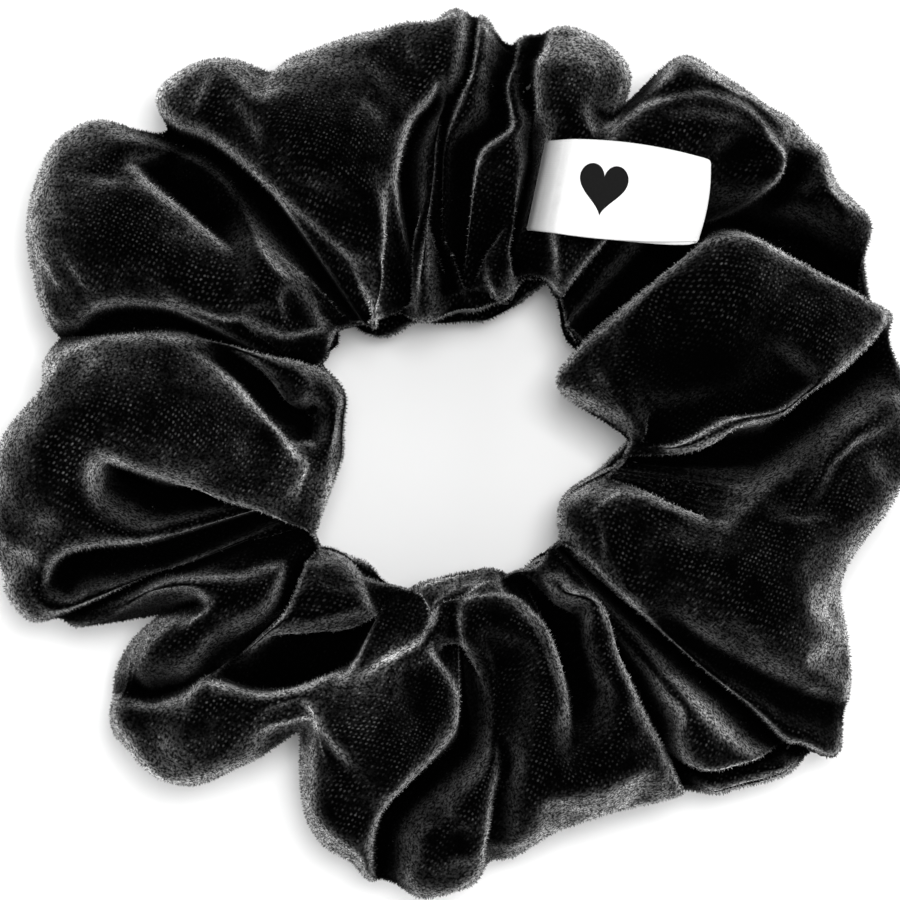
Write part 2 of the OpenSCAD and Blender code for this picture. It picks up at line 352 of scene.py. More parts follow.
# Label, in its own frame: x from the seam to the fold, y across, z up
LABEL_START = (10.5, 32.0, 26.3)
LABEL_TILT = -5
LABEL_LEFT = (-0.2, 1.1)       # x of its visible left edge, at its lower and upper corners
LABEL_RIGHT = (20.2, 20.9)
LABEL_UPPER_EDGE = [(0.8, 5.4), (9.0, 5.9), (20.9, 4.6)]
LABEL_LOWER_EDGE = [(-0.5, -5.4), (10.0, -5.9), (20.2, -5.0)]
LABEL_TOP = 2.0
LABEL_BOTTOM = 0.35
LABEL_BULGE = (0.5, 0.3)       # how far its upper and its lower layer swell in the middle
LABEL_CURL = (0.35, 0.75)      # how far its edges curl down all along, and more at the fold
LABEL_DIP = 3.8         # how far it sinks towards the seam
LABEL_DIP_SHARE = 0.16
LABEL_TUCK = (-0.4, 0.0, -2.6)
FOLD_SHARE = 0.05
FOLD_BULGE = 1.15
RIBBON_THICK = 0.3
HEART_PLACE = (7.9, 0.4)
HEART_WIDE = 5.85
HEART_HIGH = 6.3
HEART_TURN = -3
HEART_FILM = 0.03

# The knitted ground: size of a stitch, how its rows wander, how they slant, and its mottling
STITCH = 0.53
STITCH_JITTER = 0.4
DRIFT = 5.0
DRIFT_PITCH = 24
LATTICE_TURN = (28, -24, 20)
PATCH = 3
FUZZ = 0.36
BRUSH_GAIN = 0.9
# how far such a patch spreads the painted sheen in from the edges
BRUSH_SHEEN_TURN = 0.12

# Tones of the velvet, as (place, value) stops
TIPS = [(0.08, 0.05), (0.32, 0.0)]      # from the tip of a stitch outwards
UNEVEN = [(0.15, 0.25), (0.75, 1.0)]    # from stitch to stitch
GRAIN = [(0.4, 0.12), (0.62, 1.6)]
GRAIN_SHARE = 0.7
MOTTLE = [(0.38, 0.0), (0.7, 1.0)]
CRUSH = [(0.34, 0.45), (0.66, 1.25)]
# Painted shade of the valleys: how the colour darkens from a ridge down into a valley
SHADOW = [(0.0, 1.0), (0.5, 0.35), (0.9, 0.03)]     # from a ridge down into a valley
# Painted sheen: how much the velvet's colour brightens from face on (0) to edge-on (1)
PAINTED_SHEEN = [(0.0, 0.0), (0.15, 0.001), (0.36, 0.01), (0.57, 0.07), (0.78, 0.34), (1.0, 0.7)]

# Tones of the satin, and the painted shade that greys it from its raw end, where it sinks into the
# seam, up to a given reach in mm
SATIN = [(0.3, 0.66), (0.7, 0.72)]
SATIN_THREADS = (("X", 0.16), ("Y", 0.24))
WAVE_PITCH = 0.314      # of a wave texture at scale 1
SEAM_SHADE_REACH = 6.4
SEAM_SHADE = [(0.0, 0.14), (0.42, 0.22), (0.6, 0.58), (0.9, 1.0)]
INK = [(0.3, 0.004), (0.7, 0.006)]

# Tufts of pile
TUFT_ROWS = 165
TUFT_PITCH = 0.44
TUFT_LENGTH = (0.3, 0.58)
TUFT_WIDTH = (0.18, 0.32)
TUFT_ROOT = 0.15
TUFT_NAP = 0.3          # how far a tuft leans with the nap
TUFT_STRAY = 0.16       # and at random
LOWEST = 0.05           # nothing goes nearer to the floor

# Lights (place, size, power), floor and camera, in metres
LIGHTS = {
    "top": ((0.1, 0.15, 1.2), 0.35, 10),
    "side_right": ((0.8, 0.1, 0.5), 0.5, 3),
    "side_left": ((-0.8, -0.1, 0.5), 0.5, 3),
}
SKY = 0.65
FLOOR_TONE = 0.93
FLOOR_REACH = 3.0
VIEW_WIDTH = 0.110
VIEW_DISTANCE = 0.9
VIEW_LEVEL = 0.013
SENSOR = 36


def unit(vectors):
    return vectors / np.maximum(np.linalg.norm(vectors, axis=-1, keepdims=True), 1e-9)


def smooth(t):
    t = np.clip(t, 0, 1)
    return t * t * (3 - 2 * t)


def run_along(line):
    """Distance from the start of a line to each of its points."""
    return np.concatenate([[0], np.cumsum(np.linalg.norm(np.diff(line, axis=0), axis=1))])


def soft_floor(z):
    """Flattens what lies below 0, with a round shoulder."""
    return 0.5 * (z + np.sqrt(z * z + 1.0))


def catmull_rom(points, step=CURVE_STEP):
    """A smooth curve through points, as closely spaced samples."""
    p = np.array([points[0]] + list(points) + [points[-1]], float)
    out = []
    for a, b, c, d in zip(p[:-3], p[1:-2], p[2:-1], p[3:]):
        count = max(2, int(np.linalg.norm(c - b) / step))
        t = np.linspace(0, 1, count, endpoint=False)[:, None]
        out.append(0.5 * (2 * b + (c - a) * t + (2 * a - 5 * b + 4 * c - d) * t ** 2
                          + (3 * b - a - 3 * c + d) * t ** 3))
    return np.vstack(out + [p[-1:]])


def edge_radius(points):
    """The edge's radius as a smooth function of the angle, from its points."""
    x, y = np.array(points, float).T
    angle, radius = np.arctan2(y, x) % (2 * np.pi), np.hypot(x, y)
    order = np.argsort(angle)
    angle, radius = angle[order], radius[order]
    wrapped = np.concatenate([angle[-2:] - 2 * np.pi, angle, angle[:2] + 2 * np.pi])
    values = np.concatenate([radius[-2:], radius, radius[:2]])
    slope = np.gradient(values, wrapped)

    def at(theta):
        x = theta % (2 * np.pi)
        i = np.clip(np.searchsorted(wrapped, x, side="right") - 1, 0, len(wrapped) - 2)
        width = wrapped[i + 1] - wrapped[i]
        t = (x - wrapped[i]) / width
        return ((2 * t ** 3 - 3 * t ** 2 + 1) * values[i]
                + (t ** 3 - 2 * t ** 2 + t) * width * slope[i]
                + (3 * t ** 2 - 2 * t ** 3) * values[i + 1]
                + (t ** 3 - t ** 2) * width * slope[i + 1])
    return at


outer_radius = edge_radius(OUTER_EDGE)
hole_radius = edge_radius(HOLE_EDGE)


# ---------------------------------------------------------------- relief of the folds

def nearest(curve, px, py):
    """For each point: its distance to a curve, its side, its place along, and the normal."""
    best = np.full(len(px), 1e9)
    side, place, nx, ny = np.zeros((4, len(px)))
    for a, b, start in zip(curve[:-1], curve[1:], run_along(curve)):
        length = math.hypot(*(b - a))
        t = (b - a) / length
        wx, wy = px - a[0], py - a[1]
        run = np.clip(wx * t[0] + wy * t[1], 0, length)
        distance = np.hypot(wx - run * t[0], wy - run * t[1])
        hit = distance < best
        best[hit] = distance[hit]
        side[hit] = np.sign(t[0] * wy - t[1] * wx)[hit]
        place[hit] = (start + run)[hit]
        nx[hit], ny[hit] = -t[1], t[0]
    return best, side, place, nx, ny


def crease_relief(crease, x, y):
    """One crease at each point: its depth, its lip's lean along x and y, and its valley's shade."""
    points, over, depth, roll, valley, fade_in, fade_out = crease
    roll, valley, depth = roll * ROLL_SCALE, valley * VALLEY_SCALE, depth * DEPTH_SCALE
    curve = catmull_rom(points)
    relief = np.zeros((4, len(x)))
    reach = max(3.5 * roll, valley, CROWN_REACH)
    low, high = curve.min(0) - reach, curve.max(0) + reach
    near = np.flatnonzero((x > low[0]) & (x < high[0]) & (y > low[1]) & (y < high[1]))
    if not len(near):
        return relief
    best, side, place, nx, ny = nearest(curve, x[near], y[near])
    weight = np.ones(len(near))
    if fade_in:
        weight *= smooth(place / fade_in)
    if fade_out:
        weight *= smooth((run_along(curve)[-1] - place) / fade_out)
    is_over = side * over > 0
    u = np.clip(best / roll, 0, 1)
    round_lip = np.sqrt(u * (2 - u))
    under = 1 - smooth((best / valley - VALLEY_FLOOR) / (1 - VALLEY_FLOOR))
    crown = min(1, depth / FULL_CROWN) * np.clip(1 - best / CROWN_REACH, 0, 1) ** 2
    lip = np.where(is_over, round_lip * (1 - smooth((best - roll) / (3 * roll))), 0)
    lean = LEAN * weight * min(1, depth / FULL_LEAN) * lip
    relief[0, near] = depth * weight * np.where(is_over, 1 - round_lip, under)
    relief[0, near] += CROWN * weight * crown
    relief[1, near], relief[2, near] = -over * nx * lean, -over * ny * lean
    relief[3, near] = (weight * min(1, depth / FULL_CROWN)
                       * np.where(is_over, 1 - smooth(u / 0.3), under))
    return relief


def spot(x, y, cx, cy, length, width, turn):
    """An oval spot that fades from 1 at its middle."""
    c, s = math.cos(math.radians(turn)), math.sin(math.radians(turn))
    u = ((x - cx) * c + (y - cy) * s) / length
    v = (-(x - cx) * s + (y - cy) * c) / width
    return np.exp(-(u * u + v * v))


def network_relief(creases, pits, x, y):
    """The relief of a whole network of creases: depth, lean along x and y, and valley shade."""
    total, lean_x, lean_y, shade = np.zeros((4, len(x)))
    for crease in creases:
        depth, dx, dy, dark = crease_relief(crease, x, y)
        total += np.maximum(depth, 0) ** MERGE_POWER
        lean_x += dx
        lean_y += dy
        shade = np.maximum(shade, dark)
    total = total ** (1 / MERGE_POWER)
    for *oval, depth in pits:
        pit = spot(x, y, *oval)
        total += depth * pit
        if depth > DARK_PIT:
            shade = np.maximum(shade, pit)
    return total, lean_x, lean_y, shade


def brushed_sheen(x, y):
    """How much paler the velvet looks at each point, from 0, and how far its painted sheen spreads
    in.
    """
    return sum(amount * spot(x, y, *oval) for *oval, amount in BRUSHED_SHEEN)


def under_creases():
    """Creases of the underside: each crease that reaches an edge runs on to the other edge."""
    random = np.random.default_rng(SEED)
    out = []
    for points, over, depth, _, _, fade_in, fade_out in CREASES.values():
        ends = [] if fade_in else [points[0]]
        if not fade_out:
            ends.append(points[-1])
        for end in ends:
            start, angle = math.hypot(*end), math.atan2(end[1], end[0])
            stop = UNDER_INWARDS if start > UNDER_PARTING else UNDER_OUTWARDS
            drift = random.uniform(-UNDER_DRIFT, UNDER_DRIFT)
            t = np.linspace(0, 1, 5)
            radius, turn = start + (stop - start) * t, angle + drift * t
            path = np.stack([radius * np.cos(turn), radius * np.sin(turn)], -1)
            out.append((path, over, min(depth, UNDER_DEPTH), *UNDER_SHAPE))
    return out


def ripple(x, y, z):
    """Slight uneven swelling of the fabric: a sum of waves in random directions."""
    random = np.random.default_rng(SEED + 1)
    total = np.zeros_like(x)
    for _ in range(RIPPLES):
        way = unit(random.normal(0, 1, 3))
        pitch = random.uniform(*RIPPLE_PITCH)
        phase = (way[0] * x + way[1] * y + way[2] * z) * 2 * math.pi / pitch
        total += pitch * np.sin(phase + random.uniform(0, 2 * math.pi))
    return total * RIPPLE_HEIGHT / math.sqrt(RIPPLES)


# ---------------------------------------------------------------- the sleeve's points

def sleeve_points(theta, v):
    """Points of the sleeve, in mm, and the shade of its valleys.

    theta runs round the ring, and v round the tube from the outer edge.
    """
    outer, inner = outer_radius(theta) - OUTER_ROOM, hole_radius(theta) + HOLE_ROOM
    middle, half = (outer + inner) / 2, (outer - inner) / 2
    power = 2 / np.where(np.cos(v) < 0, HOLE_POWER, SECTION_POWER)
    across = np.sign(np.cos(v)) * np.abs(np.cos(v)) ** power
    up = np.sign(np.sin(v)) * np.abs(np.sin(v)) ** power
    radius = middle + half * across
    x, y = radius * np.cos(theta), radius * np.sin(theta)
    z = RING_HEIGHT / 2 * (1 + up)
    out_r = np.cos(v) / np.sqrt(np.cos(v) ** 2 + (half / (RING_HEIGHT / 2)) ** 2 * np.sin(v) ** 2)
    out_z = np.sqrt(1 - out_r ** 2) * np.sign(np.sin(v))
    top = np.array(network_relief(CREASES.values(), PITS, x, y))
    low = np.array(network_relief(under_creases(), [], x, y))
    share = smooth((up - TOP_FROM) / TOP_BAND)
    depth, lean_x, lean_y, shade = share * top + (1 - share) * low
    near_hole = smooth((GATHER_RADIUS - radius) / GATHER_BAND)
    gather = GATHER * np.cos(GATHERS * theta + 3 * np.sin(5 * theta)) * near_hole
    swell = SWELL * np.sin(7 * theta + 2 * v) * np.cos(3 * v + 4 * theta)
    swell += ripple(x, y, z)
    spread = (gather + swell - SIDE_SHARE * depth) * out_r
    x = x + spread * np.cos(theta) + lean_x
    y = y + spread * np.sin(theta) + lean_y
    z = z + (SWELL_OUT + swell - depth) * out_z
    z = FLOOR_ROOM + soft_floor(z - FLOOR_ROOM)
    open_side = HOLE_SHADE + (1 - HOLE_SHADE) * smooth((radius - inner - 0.5) / 3)
    return np.stack([x, y, z], -1), shade * open_side


def elastic_radius(theta):
    """Radius of the elastic's inner face, where it lies inside the sleeve by the hole."""
    spread = np.radians(np.linspace(-30, 30, 13))
    around = np.mean([hole_radius(theta + turn) for turn in spread], axis=0)
    return np.maximum(around, hole_radius(theta)) + ELASTIC_INSET


def clear_elastic(points, v):
    """Keeps the velvet clear of the elastic band that it lies round."""
    x, y, z = points[..., 0], points[..., 1], points[..., 2]
    radius = np.hypot(x, y)
    band = elastic_radius(np.arctan2(y, x))
    near = smooth((band + 10 - radius) / 8.5)
    middle = RING_HEIGHT / 2
    room = ELASTIC_WIDE / 2 + ELASTIC_ROOM
    low = middle + room * near - (1 - near) * middle
    high = RING_HEIGHT - low
    z = np.where(np.sin(v) > 0, low + soft_floor(z - low), high - soft_floor(high - z))
    beside = smooth((room + 3.5 - np.abs(z - middle)) / 3) * (np.cos(v) < 0)
    over = np.maximum(radius - (band - ELASTIC_ROOM), 0) * beside
    share = 1 - over / np.maximum(radius, 1e-6)
    return np.stack([x * share, y * share, z], -1)


def seam_place(theta):
    """Where the long seam runs round the tube: low outside, and up to the edge at one side."""
    gap = np.abs((theta - math.radians(SEAM_RISE_AT) + np.pi) % (2 * np.pi) - np.pi)
    rise = smooth((math.radians(SEAM_RISE_REACH) - gap) / 0.5)
    return math.radians(SEAM_LOW) + math.radians(SEAM_RISE) * rise


def grid_angles(rows, columns):
    """Where each grid point lies: its angle round the ring and round the tube."""
    theta = np.linspace(0, 2 * np.pi, rows, endpoint=False)
    theta, v = np.meshgrid(theta, np.linspace(0, 2 * np.pi, columns), indexing="ij")
    return theta, (v + seam_place(theta) + np.pi) % (2 * np.pi) - np.pi


def grid_faces(rows, columns, close_rows):
    """Quads of a grid whose index is row * columns + column."""
    r = np.arange(rows if close_rows else rows - 1)[:, None]
    c = np.arange(columns - 1)[None, :]
    n = (r + 1) % rows
    quads = np.stack([r * columns + c, n * columns + c, n * columns + c + 1,
                      r * columns + c + 1], -1)
    return quads.reshape(-1, 4)


def grid_normals(p, closed=True):
    """Normals of a grid of points, which may be closed in its first direction."""
    along = np.roll(p, -1, 0) - np.roll(p, 1, 0) if closed else np.gradient(p, axis=0)
    return unit(np.cross(along, np.gradient(p, axis=1)))


def sample_grid(grid, i, j):
    """Values of a grid between its points, closed in the first direction."""
    i0, j0 = np.floor(i).astype(int), np.floor(j).astype(int)
    fi, fj = (i - i0)[:, None], (j - j0)[:, None]
    j1 = np.minimum(j0 + 1, grid.shape[1] - 1)
    i1 = (i0 + 1) % grid.shape[0]
    i0 = i0 % grid.shape[0]
    return ((grid[i0, j0] * (1 - fi) + grid[i1, j0] * fi) * (1 - fj)
            + (grid[i0, j1] * (1 - fi) + grid[i1, j1] * fi) * fj)


def relax(p, steps, pull, hold):
    """Evens a grid out like a stretched skin that is held near its first shape."""
    start = p.copy()
    for _ in range(steps):
        mean = (np.roll(p, 1, 0) + np.roll(p, -1, 0))[:, 1:-1] + p[:, 2:] + p[:, :-2]
        p = p.copy()
        p[:, 1:-1] += pull * (mean / 4 - p[:, 1:-1])
        p += hold * (start - p)
    return p


def calm_hole(points, steps):
    """Evens the pleats out round the hole, where the steps round the ring are short."""
    radius = np.hypot(points[..., 0], points[..., 1])
    weight = 0.5 * smooth((CALM_RADIUS - radius) / CALM_BAND)[..., None]
    for _ in range(steps):
        mean = (np.roll(points, 1, 0) + np.roll(points, -1, 0)) / 2
        points = points + weight * (mean - points)
    return points


def sleeve_grid(rows, columns, steps):
    """The sleeve's points as a grid: round the ring, then round the tube from seam to seam."""
    theta, v = grid_angles(rows, columns)
    points, shade = sleeve_points(theta.ravel(), v.ravel())
    points = relax(points.reshape(rows, columns, 3), steps, GRID_PULL, GRID_HOLD)
    points = clear_elastic(calm_hole(points, rows // 12), v)
    return relax(points, 2, 0.5, 0.0), shade.reshape(rows, columns)


def held_share(grid):
    """How firmly each point of the cloth is held: at its seam, in deep creases, by the elastic."""
    x, y = grid[..., 0].ravel(), grid[..., 1].ravel()
    depth = network_relief(CREASES.values(), [], x, y)[0]
    creased = np.clip((depth - HELD_FROM) / HELD_FADE, 0, 1)
    to_hole = np.hypot(x, y) - hole_radius(np.arctan2(y, x))
    gripped = smooth((GRIPPED - to_hole) / (GRIPPED - 1))
    held = np.maximum(creased, gripped).reshape(grid.shape[:2])
    held[:, :2] = held[:, -2:] = 1
    return held.ravel()


def settle(grid):
    """How far each point moves when the velvet, as cloth under slight pressure, finds its shape."""
    rows, columns = grid.shape[:2]
    faces = grid_faces(rows, columns, True)
    obj = make_mesh("settling", grid.reshape(-1, 3) * CLOTH_SCALE, faces.tolist())
    group = obj.vertex_groups.new(name="held")
    level = np.round(held_share(grid) * HELD_LEVELS).astype(int)
    for step in range(1, HELD_LEVELS + 1):
        group.add(np.flatnonzero(level == step).tolist(), step / HELD_LEVELS, "REPLACE")
    cloth = obj.modifiers.new("cloth", "CLOTH")
    for name, value in CLOTH_SETTINGS.items():
        setattr(cloth.settings, name, value)
    cloth.settings.vertex_group_mass = group.name
    cloth.settings.effector_weights.gravity = 0
    cloth.collision_settings.use_collision = False
    cloth.point_cache.frame_end = CLOTH_FRAMES
    for frame_number in range(1, CLOTH_FRAMES + 1):
        bpy.context.scene.frame_set(frame_number)
    shape = obj.evaluated_get(bpy.context.evaluated_depsgraph_get()).to_mesh()
    after = np.empty(rows * columns * 3, dtype=np.float32)
    shape.vertices.foreach_get("co", after)
    bpy.data.objects.remove(obj)
    bpy.context.scene.frame_set(1)
    move = after.reshape(grid.shape).astype(float) / (MM * CLOTH_SCALE) - grid
    length = np.linalg.norm(move, axis=-1, keepdims=True)
    return relax(move * np.minimum(1, CLOTH_CAP / np.maximum(length, 1e-6)), 3, 0.5, 0.0)


def settled_sleeve():
    """The sleeve's fine grid, with the folds that the cloth adds on a coarse one, and its shade."""
    grid, shade = sleeve_grid(ROUND_STEPS, TUBE_STEPS, 8)
    rows, columns = ROUND_STEPS // CLOTH_SHARE, TUBE_STEPS // CLOTH_SHARE
    move = settle(sleeve_grid(rows, columns, 5)[0])
    i, j = np.meshgrid(np.arange(ROUND_STEPS) * rows / ROUND_STEPS,
                       np.arange(TUBE_STEPS) * (columns - 1) / (TUBE_STEPS - 1), indexing="ij")
    grid = grid + sample_grid(move, i.ravel(), j.ravel()).reshape(grid.shape)
    grid[..., 2] = FLOOR_ROOM + soft_floor(grid[..., 2] - FLOOR_ROOM)
    return clear_elastic(grid, grid_angles(ROUND_STEPS, TUBE_STEPS)[1]), shade


def tube_middle(theta):
    """The middle line of the tube, in mm."""
    radius = (outer_radius(theta) + hole_radius(theta)) / 2
    height = np.full_like(radius, RING_HEIGHT / 2)
    return np.stack([radius * np.cos(theta), radius * np.sin(theta), height], -1)


def seam_lines(grid):
    """Points of the long seam, and the directions inwards from it and across it."""
    theta = np.linspace(0, 2 * np.pi, len(grid), endpoint=False)
    seam = (grid[:, 0] + grid[:, -1]) / 2
    inward = unit(tube_middle(theta) - seam)
    along = unit(np.roll(seam, -1, 0) - np.roll(seam, 1, 0))
    across = unit(np.cross(inward, along))
    across *= np.sign(np.sum((grid[:, 4] - grid[:, 0]) * across))
    return seam, inward, across


def turn_in_allowance(grid):
    """Adds the seam allowance: from both long edges the velvet turns in and lies face to face."""
    seam, inward, across = (lines[:, None] for lines in seam_lines(grid))
    depths = ALLOWANCE * ALLOWANCE_STEPS[None, :, None]
    first, last = (seam + inward * depths + side * ALLOWANCE_GAP / 2 * across for side in (1, -1))
    return np.concatenate([first[:, ::-1], grid[:, 1:-1], last], 1)


# ---------------------------------------------------------------- materials

class Material:
    """A node material, with short calls for the nodes that it is made from."""

    def __init__(self, name, sockets):
        self.data = bpy.data.materials.new(name)
        self.data.use_nodes = True
        self.tree = self.data.node_tree
        self.shader = self.tree.nodes["Principled BSDF"]
        self.join(self.shader, sockets)

    def join(self, node, sockets):
        """Gives each socket a number, or the output of another node."""
        for name, value in sockets.items():
            if isinstance(value, bpy.types.NodeSocket):
                self.tree.links.new(value, node.inputs[name])
            else:
                node.inputs[name].default_value = value

    def add(self, kind, sockets, **settings):
        node = self.tree.nodes.new("ShaderNode" + kind)
        for name, value in settings.items():
            setattr(node, name, value)
        self.join(node, sockets)
        return node

    def place(self, kind):
        return self.add("TexCoord", {}).outputs[kind]

    def noise(self, place, pitch, detail=2, roughness=0.5, output="Fac"):
        sockets = {"Vector": place, "Scale": 1 / pitch, "Detail": detail, "Roughness": roughness}
        return self.add("TexNoise", sockets).outputs[output]

    def layer(self, name):
        """The number that the mesh keeps for each point."""
        return self.add("Attribute", {}, attribute_name=name).outputs["Fac"]

    def ramp(self, value, stops, interpolation="LINEAR"):
        """A ramp of greys from (place, value) stops."""
        ramp = self.add("ValToRGB", {"Fac": value})
        ramp.color_ramp.interpolation = interpolation
        elements = ramp.color_ramp.elements
        for element, (place, tone) in zip(elements, (stops[0], stops[-1])):
            element.position = place
            element.color = (tone, tone, tone, 1)
        for place, tone in stops[1:-1]:
            elements.new(place).color = (tone, tone, tone, 1)
        return ramp.outputs["Color"]

    def mix(self, blend, a, b, share=1):
        sockets = {"Factor": share, "A": a, "B": b}
        return self.add("Mix", sockets, data_type="RGBA", blend_type=blend).outputs["Result"]

    def count(self, operation, *values, **settings):
        sockets = dict(enumerate(values))
        return self.add("Math", sockets, operation=operation, **settings).outputs["Value"]

    def finish(self, color, height, distance, strength=1, **settings):
        """Puts the colour, and a bump in mm, on the shader."""
        sockets = {"Height": height, "Distance": distance * MM, "Strength": strength}
        bump = self.add("Bump", sockets, **settings)
        self.join(self.shader, {"Base Color": color, "Normal": bump.outputs["Normal"]})
        return self.data


def knit_lattice(mat, place):
    """The velvet's knitted ground: slightly uneven rows of stitches, all the way round the tube."""
    drift = mat.noise(place, DRIFT_PITCH * MM, 0, output="Color")
    moved = mat.add("VectorMath", {0: drift, 1: (DRIFT * MM,) * 3, 2: place},
                    operation="MULTIPLY_ADD").outputs["Vector"]
    turn = [math.radians(a) for a in LATTICE_TURN]
    turned = mat.add("Mapping", {"Vector": moved, "Rotation": turn}).outputs["Vector"]
    sockets = {"Vector": turned, "Scale": 1 / (STITCH * MM), "Randomness": STITCH_JITTER}
    return mat.add("TexVoronoi", sockets, feature="F1", voronoi_dimensions="2D")


def velvet_material(name, edge):
    """Black velvet: a mottled, dotted ground, a painted sheen that turns the pile pale where it is
    seen edge-on, and painted shade down in the valleys.
    """
    mat = Material(name, {"Roughness": 0.85, "Specular IOR Level": 0.01, "Sheen Weight": 0.02,
                          "Sheen Roughness": 0.3, "Sheen Tint": (1, 1, 1, 1)})
    place = mat.place("Object")
    brush_sheen = mat.layer("brush_sheen")
    stitch = knit_lattice(mat, place)
    patches = mat.noise(place, PATCH * MM, 5, 0.65)
    grain = mat.ramp(mat.noise(place, FUZZ * MM), GRAIN)
    tips = mat.ramp(stitch.outputs["Distance"], TIPS)
    dots = mat.mix("MULTIPLY", tips, mat.ramp(stitch.outputs["Color"], UNEVEN))
    dots = mat.mix("MULTIPLY", dots, grain, GRAIN_SHARE)
    ground = mat.mix("MULTIPLY", dots, mat.ramp(patches, MOTTLE))
    # painted sheen: the colour turns pale where the surface is seen edge-on
    facing = mat.add("LayerWeight", {"Blend": 0.5}).outputs["Facing"]
    # painted sheen spreads further in where the pile lies the other way
    turned = mat.count("MULTIPLY_ADD", brush_sheen, BRUSH_SHEEN_TURN, facing, use_clamp=True)
    sheen = mat.count("MULTIPLY", mat.ramp(turned, PAINTED_SHEEN, "B_SPLINE"), edge)
    sheen = mat.count("MULTIPLY", sheen, mat.ramp(patches, CRUSH))
    sheen = mat.count("MULTIPLY", sheen, grain)
    color = mat.mix("ADD", ground, sheen)
    color = mat.mix("MULTIPLY", color, mat.count("MULTIPLY_ADD", brush_sheen, BRUSH_GAIN, 1))
    # painted shade: the colour darkens down into the valleys
    color = mat.mix("MULTIPLY", color, mat.ramp(mat.layer("shade"), SHADOW))
    return mat.finish(color, stitch.outputs["Distance"], 0.12, 0.5, invert=True)


def thread_material(name, value, roughness):
    """Spun yarn or braid: fine slanting fibres with a little variation."""
    mat = Material(name, {"Roughness": roughness, "Sheen Weight": 0.2})
    fibres = mat.noise(mat.place("Object"), 0.12 * MM, 3)
    return mat.finish(mat.ramp(fibres, [(0.3, value * 0.6), (0.7, value * 1.3)]), fibres, 0.05)


def satin_material():
    """White woven satin: fine glossy threads along and across, greyed by painted shade at its raw
    ends.
    """
    mat = Material("satin", {"Roughness": 0.42, "Specular IOR Level": 0.4, "Sheen Weight": 0.1,
                             "Anisotropic": 0.3})
    place = mat.place("UV")
    threads = []
    for direction, pitch in SATIN_THREADS:
        sockets = {"Vector": place, "Scale": WAVE_PITCH / pitch, "Distortion": 0.4}
        wave = mat.add("TexWave", sockets, wave_type="BANDS", bands_direction=direction)
        threads.append(wave.outputs["Fac"])
    tone = mat.ramp(mat.noise(place, 2), SATIN)
    along = mat.add("SeparateXYZ", {"Vector": place}).outputs["X"]
    # painted shade: the satin greys towards its raw end, down in the seam
    seam_shade = mat.ramp(mat.count("DIVIDE", along, SEAM_SHADE_REACH), SEAM_SHADE)
    return mat.finish(mat.mix("MULTIPLY", tone, seam_shade), mat.count("ADD", *threads), 0.015, 0.6)


def print_material():
    """Near-black ink that has soaked into the weave."""
    mat = Material("ink", {"Roughness": 0.6, "Specular IOR Level": 0.05})
    grain = mat.noise(mat.place("Object"), 0.2 * MM)
    mat.join(mat.shader, {"Base Color": mat.ramp(grain, INK)})
    return mat.data


# ---------------------------------------------------------------- velvet pieces

def make_mesh(name, points, faces, material=None, uv=None):
    """A smooth-shaded piece from points in mm."""
    mesh = bpy.data.meshes.new(name)
    mesh.from_pydata((np.asarray(points) * MM).tolist(), [], faces)
    mesh.update()
    if uv is not None:
        layer = mesh.uv_layers.new(name="UVMap")
        index = np.empty(len(mesh.loops), dtype=np.int32)
        mesh.loops.foreach_get("vertex_index", index)
        layer.data.foreach_set("uv", np.asarray(uv, float)[index].ravel())
    mesh.polygons.foreach_set("use_smooth", [True] * len(mesh.polygons))
    if material:
        mesh.materials.append(material)
    obj = bpy.data.objects.new(name, mesh)
    bpy.context.scene.collection.objects.link(obj)
    return obj


def blend_on_ring(obj):
    """Bakes the piece's placement into its mesh."""
    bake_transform(obj)


def add_velvet_layers(obj, shade):
    """The layers that the velvet's colour reads: how deep each point lies in a valley, for the
    painted shade there, and how much paler its pile is where it lies the other way, which also
    spreads the painted sheen in from the edges.
    """
    points = np.empty(len(obj.data.vertices) * 3)
    obj.data.vertices.foreach_get("co", points)
    x, y, z = points.reshape(-1, 3).T / MM
    layers = {"shade": shade, "brush_sheen": brushed_sheen(x, y) * smooth((z - 6) / 6)}
    for name, values in layers.items():
        layer = obj.data.attributes.new(name, "FLOAT", "POINT")
        layer.data.foreach_set("value", np.asarray(values, np.float32).ravel())


def build_sleeve(grid, shade):
    whole = turn_in_allowance(grid)
    extra = (whole.shape[1] - grid.shape[1]) // 2
    faces = grid_faces(*whole.shape[:2], True)
    obj = make_mesh("velvet_sleeve", whole.reshape(-1, 3), faces.tolist(),
                    velvet_material("velvet", 1.0))
    add_velvet_layers(obj, np.pad(shade, ((0, 0), (extra, extra)), constant_values=1))
    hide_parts("sleeve_label_half", "sleeve_far_half")
    blend_on_ring(obj)
    return obj


def tuft_places(grid, random):
    """Grid places of the tufts: rows round the ring, slightly uneven."""
    closed = np.concatenate([grid, grid[:1]])
    places = []
    for column in np.linspace(1, TUBE_STEPS - 2, TUFT_ROWS):
        along = run_along(closed[:, int(column)])
        count = int(along[-1] / TUFT_PITCH)
        at = (np.arange(count) + random.uniform(-0.25, 0.25, count)) * along[-1] / count
        i = np.interp(at, along, np.arange(len(along)))
        places.append(np.stack([i, column + random.normal(0, 0.3, count)], -1))
    i, j = np.concatenate(places).T
    return i, np.clip(j, 0, TUBE_STEPS - 1.001)


